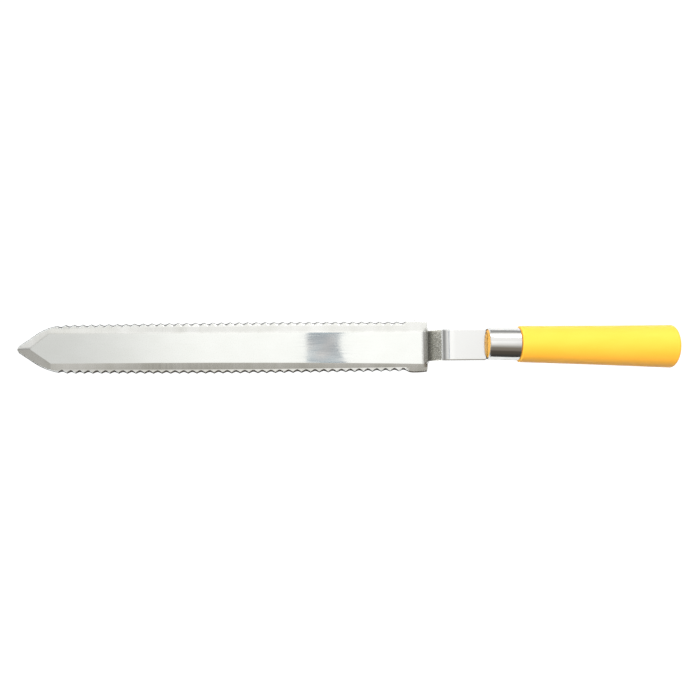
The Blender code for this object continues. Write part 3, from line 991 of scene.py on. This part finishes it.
def make_floor():
    """A large plain floor that the camera sees as even white, like a light table, so that no shadow shows."""
    mesh = bmesh.new()
    bmesh.ops.create_grid(mesh, x_segments=1, y_segments=1, size=4.0)
    bmesh.ops.translate(mesh, vec=(0.0, 0.0, -FIT_GAP), verts=mesh.verts)
    look, shader = new_material("white_floor", (0.7, 0.7, 0.7), 0.0, 0.9)
    tree = look.node_tree
    shine = tree.nodes.new("ShaderNodeEmission")
    shine.inputs["Strength"].default_value = WHITE_TO_CAMERA
    choice = tree.nodes.new("ShaderNodeMixShader")
    path = tree.nodes.new("ShaderNodeLightPath")
    tree.links.new(path.outputs["Is Camera Ray"], choice.inputs["Fac"])
    tree.links.new(shader.outputs["BSDF"], choice.inputs[1])
    tree.links.new(shine.outputs["Emission"], choice.inputs[2])
    tree.links.new(choice.outputs["Shader"], tree.nodes["Material Output"].inputs["Surface"])
    floor = add_piece("floor", mesh, [look])
    return floor


def ramp(tree, value, stops):
    """Smooth colour ramp over a direction component from -1 to 1; stops are (component, colour)."""
    share = spread(tree, value, 0.0, 1.0, -1.0, 1.0)
    return blend_colours(tree, share, [((place + 1) / 2, colour) for place, colour in stops], "EASE")


def grey(level):
    """A neutral colour."""
    return (level, level, level)


# What mirrors and plastic see of the studio, as stops over a component of the direction they look in:
# across the knife, along it, and along it again well off to the sides
ACROSS = [
    (-1.0, (0.06, 0.053, 0.045)),
    (-0.85, (0.07, 0.06, 0.05)),
    (-0.7, (0.16, 0.14, 0.12)),
    (-0.5, (0.18, 0.16, 0.135)),
    (-0.36, (0.34, 0.33, 0.31)),
    (-0.1, (0.72, 0.71, 0.69)),
    (0.0, grey(0.84)),
    (0.17, grey(0.93)),
    (0.36, grey(0.76)),
    (0.55, grey(0.8)),
    (0.93, grey(0.8)),
    (1.0, grey(0.35)),
]
ALONG = [
    (-1.0, grey(0.55)),
    (-0.92, grey(0.5)),
    (-0.8, grey(0.2)),
    (-0.68, grey(0.24)),
    (-0.56, grey(0.31)),
    (-0.44, grey(0.62)),
    (-0.22, grey(0.93)),
    (0.0, grey(0.97)),
    (0.2, grey(0.93)),
    (0.38, grey(0.8)),
    (1.0, grey(0.6)),
]
BESIDE = [
    (-1.0, grey(0.9)),
    (-0.45, grey(1.0)),
    (-0.39, grey(1.0)),
    (-0.34, grey(0.93)),
    (-0.3, grey(0.8)),
    (-0.24, grey(0.9)),
    (-0.17, grey(0.99)),
    (0.0, grey(1.0)),
    (1.0, grey(0.9)),
]
CORNER_SHADE = 0.42
DOME_MIRRORED = 1.85
DOME_ON_PLASTIC = 0.25


def studio_colour(tree):
    """Colour of the studio by direction: dark and warm on the near side, shaded behind the point."""
    direction = tree.nodes.new("ShaderNodeTexCoord")
    parts = tree.nodes.new("ShaderNodeSeparateXYZ")
    tree.links.new(direction.outputs["Generated"], parts.inputs["Vector"])
    side = arithmetic(tree, "ABSOLUTE", parts.outputs["Y"])
    reach = spread(tree, side, 0.0, 1.0, 0.08, 0.36)
    along = ramp(tree, parts.outputs["X"], ALONG)
    lengthwise = mixed(tree, "MIX", reach, along, ramp(tree, parts.outputs["X"], BESIDE))
    product = mixed(tree, "MULTIPLY", 1.0, ramp(tree, parts.outputs["Y"], ACROSS), lengthwise)
    behind = spread(tree, parts.outputs["X"], 1.0, 0.0, -0.5, -0.36)
    corner = arithmetic(tree, "MULTIPLY", behind, spread(tree, side, 0.0, 1.0, 0.4, 0.6))
    return mixed(tree, "MULTIPLY", 1.0, product, spread(tree, corner, 1.0, CORNER_SHADE, 0.0, 1.0))


def make_world():
    """Plain white to the camera. Mirrors see the studio at full strength, and the plastic sees it dimly."""
    world = bpy.data.worlds.new("studio")
    bpy.context.scene.world = world
    world.use_nodes = True
    tree = world.node_tree
    backdrop = tree.nodes["Background"]
    backdrop.inputs["Color"].default_value = (1.0, 1.0, 1.0, 1.0)
    backdrop.inputs["Strength"].default_value = WHITE_TO_CAMERA
    path = tree.nodes.new("ShaderNodeLightPath")
    dome = tree.nodes.new("ShaderNodeBackground")
    strength = spread(tree, path.outputs["Is Diffuse Ray"], DOME_MIRRORED, DOME_ON_PLASTIC, 0.0, 1.0)
    tree.links.new(strength, dome.inputs["Strength"])
    tree.links.new(studio_colour(tree), dome.inputs["Color"])
    choice = tree.nodes.new("ShaderNodeMixShader")
    tree.links.new(path.outputs["Is Camera Ray"], choice.inputs["Fac"])
    tree.links.new(dome.outputs["Background"], choice.inputs[1])
    tree.links.new(backdrop.outputs["Background"], choice.inputs[2])
    tree.links.new(choice.outputs["Shader"], tree.nodes["World Output"].inputs["Surface"])


def softbox(name, turn, distance, width, depth, radiance, mirrored, colour=(1.0, 1.0, 1.0)):
    """Area light aimed at the knife, turned from overhead in degrees; only mirrored or only lighting."""
    lamp = bpy.data.lights.new(name, "AREA")
    lamp.shape = "RECTANGLE"
    lamp.size = width
    lamp.size_y = depth
    lamp.energy = radiance * math.pi * width * depth
    lamp.color = colour
    box = bpy.data.objects.new(name, lamp)
    box.rotation_euler = tuple(math.radians(angle) for angle in turn)
    box.location = Euler(box.rotation_euler).to_matrix() @ Vector((0.0, 0.0, distance))
    box.visible_camera = False
    box.visible_glossy = mirrored
    box.visible_diffuse = not mirrored
    bpy.context.scene.collection.objects.link(box)


def make_lens_card():
    """A dim bluish card with one wavy border beside the lens, which the land mirrors as a soft patch."""
    mesh = bmesh.new()
    steps = 24
    left = []
    right = []
    for step in range(steps + 1):
        share = step / steps
        y = CARD_LOW + CARD_SPAN * share
        wave = CARD_WAVE * math.sin(2.2 * math.pi * share + 0.8) - CARD_WAVE * share
        left.append(mesh.verts.new((CARD_LEFT, y, 0.0)))
        right.append(mesh.verts.new((CARD_RIGHT + wave, y, 0.0)))
    for step in range(steps):
        mesh.faces.new((left[step], right[step], right[step + 1], left[step + 1]))
    look, shader = new_material("lens_card", (0.0, 0.0, 0.0), 0.0, 1.0)
    tree = look.node_tree
    bands = noise(tree, (12, 75, 4), detail=2)
    glow = noise(tree, (30, 30, 4), detail=1)
    warm = tint(tree, spread(tree, glow, 0.0, 1.0, 0.45, 0.65), (0.98, 1.0, 1.05), (1.18, 1.04, 1.02))
    shine = tint(tree, spread(tree, bands, 0.0, 1.0, 0.38, 0.62), (0.34, 0.45, 0.53), (1.12, 1.14, 1.13))
    shine = mixed(tree, "MULTIPLY", 1.0, shine, warm)
    tree.links.new(shine, shader.inputs["Emission Color"])
    shader.inputs["Emission Strength"].default_value = 0.95
    card = add_piece("lens_card", mesh, [look])
    card.location.z = CARD_HEIGHT
    card.visible_camera = False
    card.visible_diffuse = False
    card.visible_shadow = False


def flag(name, side, low, high, shade):
    """A low card close beside the grip that only the ferrule's mirror finish shows."""
    mesh = bmesh.new()
    corners = ((FLAG_START, low), (FLAG_END, low), (FLAG_END, high), (FLAG_START, high))
    mesh.faces.new([mesh.verts.new((x, side, z)) for x, z in corners])
    look, shader = new_material(name, (0.0, 0.0, 0.0), 0.0, 1.0)
    shader.inputs["Specular IOR Level"].default_value = 0.0
    shader.inputs["Emission Color"].default_value = (*shade, 1.0)
    shader.inputs["Emission Strength"].default_value = 1.0
    card = add_piece(name, mesh, [look])
    card.visible_camera = False
    card.visible_diffuse = False
    card.visible_shadow = False


def make_camera():
    """Looks down at the blade from CAMERA_DISTANCE, turned a little from straight down."""
    data = bpy.data.cameras.new("camera")
    data.lens = CAMERA_LENS
    data.sensor_width = 36.0
    data.clip_start = 0.01
    data.clip_end = 50.0
    camera = bpy.data.objects.new("camera", data)
    camera.rotation_euler = CAMERA_TURN
    back = Euler(CAMERA_TURN).to_matrix() @ Vector((0.0, 0.0, CAMERA_DISTANCE))
    camera.location = Vector(CAMERA_AIM) + back
    bpy.context.scene.collection.objects.link(camera)
    bpy.context.scene.camera = camera


# ---------------------------------------------------------------- assembly


def stand_for(piece, node):
    """The finished piece rides on the knife's one body and replaces its CAD solid."""
    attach(piece, "root")
    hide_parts(node)


bpy.context.scene.view_settings.view_transform = "Standard"
make_camera()
make_floor()
make_world()
softbox("key_softbox", turn=(-59, 0, -18), distance=1.2, width=0.8, depth=0.38, radiance=5.0, mirrored=True)
softbox("fill_softbox", turn=(-19, 0, 0), distance=1.6, width=1.6, depth=0.7, radiance=13.6, mirrored=False)
softbox("side_softbox", turn=(-84, 0, 0), distance=1.4, width=1.6, depth=0.3, radiance=3.2, mirrored=False)
softbox(
    "mouth_softbox",
    turn=(0, -60, 0),
    distance=1.4,
    width=0.7,
    depth=0.7,
    radiance=8.5,
    mirrored=False,
    colour=(0.8, 1.02, 1.15),
)
make_lens_card()
flag("near_flag", side=-40 * MM, low=12.5 * MM, high=30.7 * MM, shade=(0.075, 0.073, 0.07))
flag("far_flag", side=40 * MM, low=12.5 * MM, high=29.9 * MM, shade=grey(0.5))
stand_for(make_blade(), "blade")
stand_for(make_ferrule(), "ferrule")
stand_for(make_handle(), "handle")
